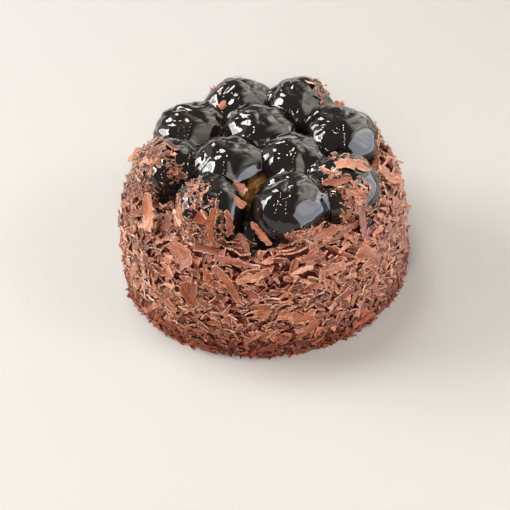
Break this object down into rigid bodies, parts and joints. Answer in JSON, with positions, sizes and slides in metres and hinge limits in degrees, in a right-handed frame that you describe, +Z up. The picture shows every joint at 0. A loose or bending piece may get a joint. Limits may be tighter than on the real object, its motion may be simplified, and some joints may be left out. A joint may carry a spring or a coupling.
{
  "type": "profiterole cake",
  "caption": "Round cake with a thick coat of chocolate shavings, topped with a dome of dark glazed choux buns.",
  "frame": {"origin": "centre of the cake's foot, on the surface it stands on", "axes": "+Z up, -Y towards the front of the cake, +X to its right as seen from the front"},
  "size_m": [0.1694, 0.1706, 0.098],
  "materials": {
    "chocolate_coat": "rough coat of overlapping milk chocolate shavings, brown with paler edges",
    "chocolate_glaze": "mirror-glossy dark chocolate glaze, almost black",
    "chocolate_shaving": "satin milk chocolate with fine scrape lines"
  },
  "bodies": {
    "root": {"cake": "chocolate_coat", "bun_back_left": "chocolate_glaze", "bun_back_right": "chocolate_glaze", "bun_front": "chocolate_glaze", "bun_front_left": "chocolate_glaze", "bun_left": "chocolate_glaze", "bun_left_back": "chocolate_glaze", "bun_middle_back": "chocolate_glaze", "bun_middle_left": "chocolate_glaze", "bun_middle_right": "chocolate_glaze", "bun_right": "chocolate_glaze", "bun_right_back": "chocolate_glaze", "shaving_back_bar": "chocolate_shaving", "shaving_back_curl": "chocolate_shaving", "shaving_back_flap": "chocolate_shaving", "shaving_back_leaf": "chocolate_shaving", "shaving_back_rim": "chocolate_shaving", "shaving_back_slope": "chocolate_shaving", "shaving_back_splint": "chocolate_shaving", "shaving_back_square": "chocolate_shaving", "shaving_band_right": "chocolate_shaving", "shaving_bar_front": "chocolate_shaving", "shaving_bent_front": "chocolate_shaving", "shaving_cap_right": "chocolate_shaving", "shaving_curl_front": "chocolate_shaving", "shaving_dark_front": "chocolate_shaving", "shaving_down_front": "chocolate_shaving", "shaving_edge_front": "chocolate_shaving", "shaving_flap_right": "chocolate_shaving", "shaving_foot_front": "chocolate_shaving", "shaving_leaf_left": "chocolate_shaving", "shaving_left_low": "chocolate_shaving", "shaving_lodged_left": "chocolate_shaving", "shaving_long_right": "chocolate_shaving", "shaving_low_right": "chocolate_shaving", "shaving_mid_right": "chocolate_shaving", "shaving_on_left": "chocolate_shaving", "shaving_over_back": "chocolate_shaving", "shaving_patch_right": "chocolate_shaving", "shaving_prop_front": "chocolate_shaving", "shaving_rim_right": "chocolate_shaving", "shaving_side_front": "chocolate_shaving", "shaving_side_right": "chocolate_shaving", "shaving_slope_front": "chocolate_shaving", "shaving_splint_left": "chocolate_shaving", "shaving_square_left": "chocolate_shaving", "shaving_strip_right": "chocolate_shaving", "shaving_tall_left": "chocolate_shaving", "shaving_wide_rim": "chocolate_shaving"}
  },
  "joints": []
}
